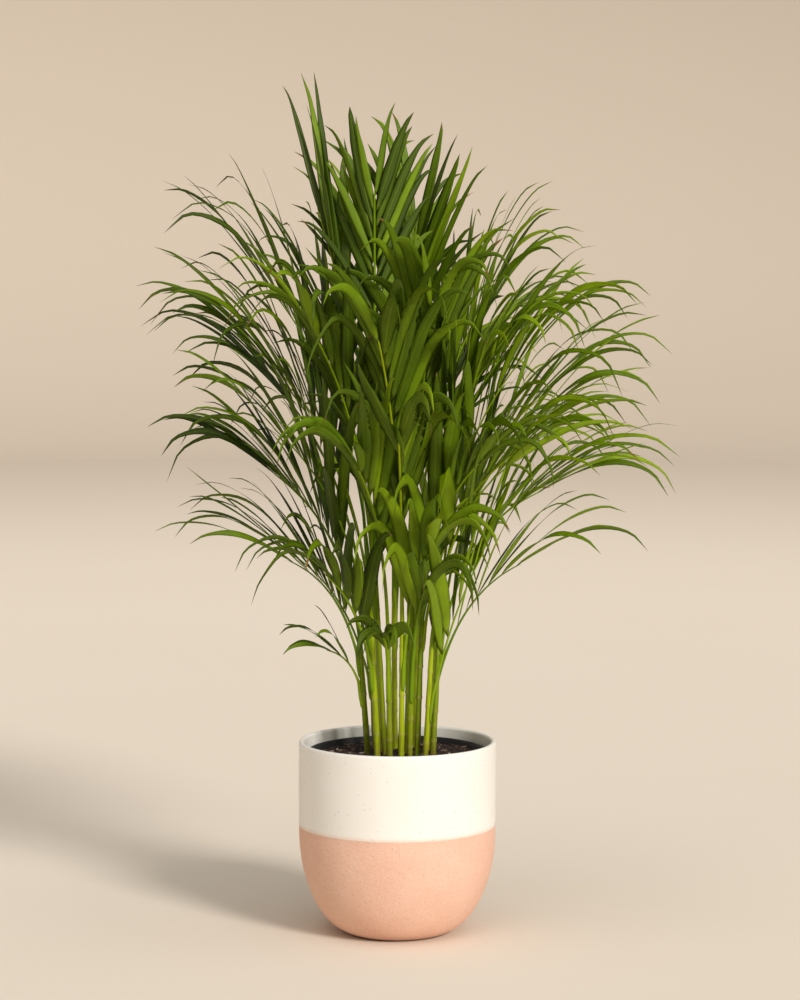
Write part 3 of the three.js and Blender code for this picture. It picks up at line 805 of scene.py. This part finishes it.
POT_RADIUS = 0.120
POT_HEIGHT = 0.2355
POT_WALL = 0.006
POT_FLOOR = 0.009
BELLY = 0.125
BASE_RADIUS = 0.050
GLAZE_DEPTH = 0.0004
GLAZE_STEP = [(-0.0006, 0.0), (-0.0002, 0.15), (0.0001, 0.6), (0.0006, 0.95), (0.0014, 1.0)]
NURSERY_BASE = 0.6 * POT_RADIUS
NURSERY_WALL = 0.0016


def bowl(turn, wall, floor):
    """A point on the bowl's quarter curve, from the bottom edge at 0 to the belly at 1."""
    angle = math.pi / 2 * turn
    height = BELLY - (BELLY - floor) * math.cos(angle)
    return BASE_RADIUS + (POT_RADIUS - wall - BASE_RADIUS) * math.sin(angle), height


def ceramic_pot(finish):
    """The thrown outer pot, with a small step where the glaze stops."""
    skin = POT_RADIUS - GLAZE_DEPTH
    outer = []
    for i in range(41):
        radius, height = bowl(i / 40, GLAZE_DEPTH, 0)
        outer.append((radius, height))
    outer[0] = (BASE_RADIUS, 0.0006)
    for lift, out in GLAZE_STEP:
        outer.append((skin + GLAZE_DEPTH * out, GLAZE_EDGE + lift))
    for i in range(1, 13):
        outer.append((POT_RADIUS, mix(GLAZE_EDGE + 0.0014, POT_HEIGHT - 0.003, i / 12)))
    rim = POT_WALL / 2
    for i in range(1, 12):
        angle = math.pi * i / 12
        out, up = rim * math.cos(angle), rim * math.sin(angle)
        outer.append((POT_RADIUS - rim + out, POT_HEIGHT - rim + up))
    inner = [(POT_RADIUS - POT_WALL, mix(POT_HEIGHT - 0.003, BELLY, i / 12)) for i in range(13)]
    inner += [bowl(1 - i / 24, POT_WALL, POT_FLOOR) for i in range(1, 25)]
    foot = [(0.0, 0.0), (0.03, 0.0), (BASE_RADIUS - 0.004, 0.0), (BASE_RADIUS - 0.001, 0.0001)]
    inner.append((0.025, POT_FLOOR))
    inner.append((0.0, POT_FLOOR))
    piece = Piece("ceramic_pot_thrown", ("inside",))
    piece.turned(foot + outer + inner, 128)
    layer = piece.values["inside"]
    for corner in piece.bm.verts:
        radius = math.hypot(corner.co.x, corner.co.y)
        height = corner.co.z
        below = bowl_inside(height)
        corner[layer] = 1.0 if height > POT_FLOOR - 0.001 and radius < below + 0.0005 else 0.0
        drift = noise.noise(Vector((corner.co.x, corner.co.y, corner.co.z * 0.7)) * 14) * 0.0004
        if height > 0.01 and radius > 0.001:
            slim = 1 - abs(drift) / radius
            corner.co.x *= slim
            corner.co.y *= slim
    return piece.finish(finish, "ceramic_pot", slot="glazed_clay")


def bowl_inside(height):
    """Inner radius of the pot at a height."""
    if height >= BELLY:
        return POT_RADIUS - POT_WALL
    fall = (BELLY - height) / (BELLY - POT_FLOOR)
    spread = POT_RADIUS - POT_WALL - BASE_RADIUS
    return BASE_RADIUS + spread * math.sqrt(max(0.0, 1 - fall * fall))


def nursery_pot(finish):
    """The thin pot inside, with a rolled rim."""
    low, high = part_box("nursery_pot")
    rim = high.x
    wall, base = NURSERY_WALL, NURSERY_BASE
    body = rim - 0.003
    seat, top = low.z, high.z
    lip = top - 0.007
    shoulder = mix(base, body, (lip - seat) / (top - seat))
    profile = [
        (0, seat),
        (base - 0.002, seat),
        (base, seat + 0.001),
        (mix(base, shoulder, 0.35), mix(seat, lip, 0.35)),
        (mix(base, shoulder, 0.7), mix(seat, lip, 0.7)),
        (shoulder, lip),
        (rim - 0.0006, lip + 0.0004),
        (rim, lip + 0.0012),
        (rim, top - 0.0014),
        (rim - 0.0004, top - 0.0004),
        (rim - 0.0014, top),
        (body - wall + 0.0012, top),
        (body - wall + 0.0003, top - 0.0004),
        (body - wall, top - 0.0014),
        (mix(base, body, 0.5) - wall, mix(seat + wall, top, 0.5)),
        (base - wall, seat + wall + 0.001),
        (base - wall - 0.001, seat + wall),
        (0, seat + wall),
    ]
    piece = Piece("nursery_pot_moulded")
    piece.turned(profile, 96)
    return piece.finish(finish, "nursery_pot", slot="nursery_plastic")


# ------------------------------------------------------------ soil

SOIL_LOW, SOIL_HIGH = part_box("soil")


def soil_level(x, y):
    """Height of the soil's surface."""
    radius = math.hypot(x, y) / SOIL_HIGH.x
    mound = SOIL_HIGH.z - 0.004 * smooth(0.35, 1.0, radius)
    lumps = noise.fractal(Vector((x, y, 0.3)) * 60, 0.9, 2.1, 3) * 0.0016
    grit = noise.noise(Vector((x, y, 0.7)) * 330) * 0.0009
    return mound + min(0.0, lumps + grit - 0.0012)


def soil_bed(finish):
    """The mounded soil, with a lumpy top."""
    low, high = SOIL_LOW, SOIL_HIGH
    radius = high.x
    foot = NURSERY_BASE - 0.0018
    piece = Piece("soil_bed")
    profile = [(0, low.z), (foot, low.z)]
    profile += [(mix(foot, radius, i / 8), mix(low.z, high.z - 0.004, i / 8)) for i in range(1, 9)]
    profile += [(radius * (1 - i / 56), high.z - 0.003) for i in range(1, 57)]
    piece.turned(profile, 180)
    for corner in piece.bm.verts:
        if corner.co.z > high.z - 0.0045:
            corner.co.z = soil_level(corner.co.x, corner.co.y)
    return piece.finish(finish, "soil", slot="potting_soil")


CRUMBS = 1500
STEM_ROOM = 0.0055


def soil_crumbs(finish, stems, chance):
    """Loose crumbs, bark chips and perlite on the soil, clear of the canes."""
    piece = Piece("soil_crumbs", ("tone",))
    layer = piece.values["tone"]
    for i in range(CRUMBS):
        radius = (SOIL_HIGH.x - 0.003) * math.sqrt(chance.random())
        angle = chance.uniform(0, FULL_TURN)
        x, y = radius * math.cos(angle), radius * math.sin(angle)
        kind = chance.random()
        if kind < 0.86:
            size, stretch, tone = chance.uniform(0.0007, 0.0022), 1.3, chance.uniform(0.0, 0.7)
        elif kind < 0.97:
            size, stretch, tone = chance.uniform(0.0012, 0.0024), 2.6, chance.uniform(0.7, 0.88)
        else:
            size, stretch, tone = chance.uniform(0.0008, 0.0019), 1.1, chance.uniform(0.95, 1.0)
        if any(math.hypot(x - sx, y - sy) < size + STEM_ROOM for sx, sy in stems):
            continue
        made = bmesh.ops.create_icosphere(piece.bm, subdivisions=1, radius=size)["verts"]
        turning = Matrix.Rotation(chance.uniform(0, 6.3), 3, "Z")
        turning = turning @ Matrix.Rotation(chance.uniform(-0.6, 0.6), 3, "X")
        shape = Matrix.Diagonal((stretch, chance.uniform(0.7, 1.1), chance.uniform(0.55, 0.95)))
        middle = Vector((x, y, soil_level(x, y) + size * 0.25))
        for corner in made:
            rough = 1 + 0.35 * noise.noise(corner.co * 900 + Vector((i, 0, 0)))
            corner.co = turning @ (shape @ (corner.co * rough)) + middle
            corner[layer] = tone
    made = piece.finish(finish, slot="potting_soil")
    made.data.shade_flat()
    return made


# ------------------------------------------------------------ build

chance = random.Random(41)
stone, plastic, earth, crumb = stoneware(), nursery_plastic(), potting_soil(), crumb_finish()
cane_skin, frond_skin = cane_finish(), frond_finish()

ceramic_pot(stone)
nursery_pot(plastic)
soil_bed(earth)

names = sorted(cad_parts)
canes = {name: read_cane(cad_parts[name]) for name in names if name.startswith("cane")}
feet = [(line[0][0].x, line[0][0].y) for line in canes.values()]
soil_crumbs(crumb, feet, chance)
for name, line in canes.items():
    add_cane(name, line, cane_skin, chance)
for name in names:
    if name.startswith("frond"):
        add_frond(name, list(canes.values()), frond_skin, chance)

# ------------------------------------------------------------ room

COVE_FLOOR = 7.0
COVE_BEND = 2.0
COVE_TOP = 3.0
COVE_STEPS = 16


def studio_cove():
    """A wide round floor of matt warm paper that curves up into a low wall all round."""
    f = Finish("studio_paper")
    place = f.place()
    soft = f.noise(place, 1.3, 2.0)
    paper = f.blend(soft, colour("E3D6C5"), colour("E6DACA"))
    across, back = f.along(0, place), f.along(1, place)
    away = (across * across + back * back) ** 0.5
    # Painted shade: the paper is darkened from three metres out, towards and up the wall.
    paper = f.blend(f.step(away, COVE_FLOOR - 4.0, COVE_FLOOR + 1.1), paper, colour("BBAE9E"))
    bm = bmesh.new()
    bmesh.ops.create_circle(bm, cap_ends=True, segments=128, radius=COVE_FLOOR)
    rim = list(bm.edges)
    radius, height = COVE_FLOOR, 0.0
    turns = [math.pi / 2 / COVE_STEPS * i for i in range(1, COVE_STEPS + 1)]
    bend = [(math.sin(turn), 1 - math.cos(turn)) for turn in turns]
    for out, up in [*bend, (1, COVE_TOP / COVE_BEND)]:
        grown = bmesh.ops.extrude_edge_only(bm, edges=rim)["geom"]
        rim = [part for part in grown if isinstance(part, bmesh.types.BMEdge)]
        corners = [part for part in grown if isinstance(part, bmesh.types.BMVert)]
        wider = (COVE_FLOOR + COVE_BEND * out) / radius
        bmesh.ops.scale(bm, vec=(wider, wider, 1), verts=corners)
        bmesh.ops.translate(bm, vec=(0, 0, COVE_BEND * up - height), verts=corners)
        radius, height = COVE_FLOOR + COVE_BEND * out, COVE_BEND * up
    for face in bm.faces:
        face.smooth = len(face.verts) == 4
    mesh = bpy.data.meshes.new("studio_cove")
    bm.to_mesh(mesh)
    bm.free()
    matt = f.shader(Base_Color=paper, Roughness=1.0, Specular_IOR_Level=0.0)
    mesh.materials.append(f.done(matt))
    cove = bpy.data.objects.new("studio_cove", mesh)
    bpy.context.scene.collection.objects.link(cove)


def soft_light(name, place, spread, power, tint):
    """Light from a far lamp in the direction of place, spread over an angle."""
    lamp = bpy.data.lights.new(name, "SUN")
    lamp.angle = spread
    lamp.energy = power
    lamp.color = tint
    made = bpy.data.objects.new(name, lamp)
    made.rotation_euler = Vector(place).to_track_quat("Z", "Y").to_euler()
    bpy.context.scene.collection.objects.link(made)


def studio_air(tint, power):
    """Even light from all round."""
    world = bpy.data.worlds.new("studio_air")
    world.use_nodes = True
    air = world.node_tree.nodes["Background"]
    air.inputs["Color"].default_value = tint
    air.inputs["Strength"].default_value = power
    bpy.context.scene.world = world


studio_cove()
soft_light("key", (1.8, -2.5, 1.6), 0.25, 2.6, (1.0, 0.975, 0.945))
soft_light("top", (0.2, -0.8, 2.8), 1.0, 1.0, (1.0, 0.99, 0.97))
soft_light("fill", (-1.6, -3.4, 2.0), 0.8, 0.3, (1.0, 0.985, 0.965))
studio_air((1.0, 0.975, 0.95, 1.0), 0.27)
bpy.context.scene.view_settings.view_transform = "Standard"

CAMERA_PLACE = (0.0033, -4.0, 0.911)
CAMERA_DIP = 0.0953  # how far it looks below level

lens = bpy.data.cameras.new("camera")
lens.lens = 119.8
lens.sensor_width = 36
lens.clip_end = 50
camera = bpy.data.objects.new("camera", lens)
camera.location = CAMERA_PLACE
camera.rotation_euler = (math.pi / 2 - CAMERA_DIP, 0, 0)
bpy.context.scene.collection.objects.link(camera)
bpy.context.scene.camera = camera

bpy.context.view_layer.update()
